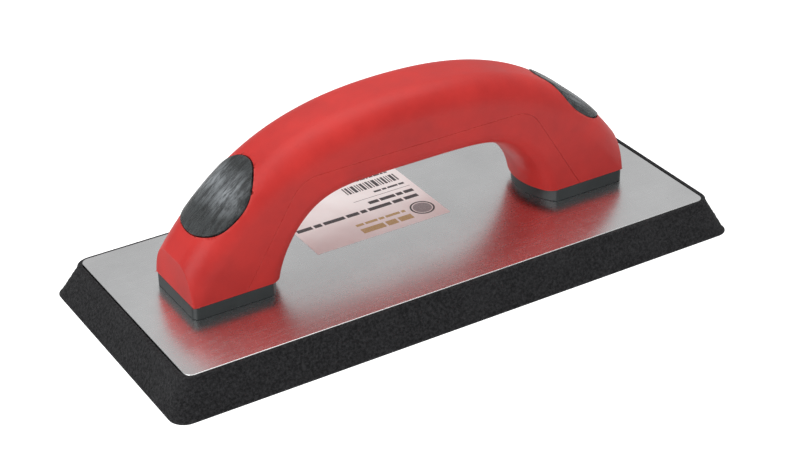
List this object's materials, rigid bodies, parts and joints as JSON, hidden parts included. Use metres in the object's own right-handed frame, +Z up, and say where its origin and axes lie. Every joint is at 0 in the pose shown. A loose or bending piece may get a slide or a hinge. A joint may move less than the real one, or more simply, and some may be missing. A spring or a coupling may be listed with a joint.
{
  "type": "rubber grout float",
  "caption": "Hand float for grouting: a bevelled cellular rubber pad on an aluminium plate, with a red plastic bridge handle and black thumb inserts.",
  "frame": {"origin": "centre of the rubber pad's underside, the surface the float rests and works on", "axes": "+X along the float's length, +Y across it, +Z up through the handle"},
  "size_m": [0.23, 0.1, 0.0732],
  "materials": {
    "pad_rubber": "matte cellular",
    "adhesive": "matte",
    "plate_aluminium": "satin",
    "base_plastic": "satin",
    "grip_plastic": "semi-gloss",
    "thumb_rubber": "glossy",
    "screw_steel": "zinc plated",
    "label_paper": "matte"
  },
  "bodies": {
    "root": {"rubber_pad": "pad_rubber", "pad_adhesive": "adhesive", "backing_plate": "plate_aluminium", "left_foot_base": "base_plastic", "right_foot_base": "base_plastic", "grip_underside": "grip_plastic", "grip_shell": "grip_plastic", "left_thumb_insert": "thumb_rubber", "right_thumb_insert": "thumb_rubber", "foot_screws": "screw_steel", "size_label": "label_paper"}
  },
  "joints": []
}
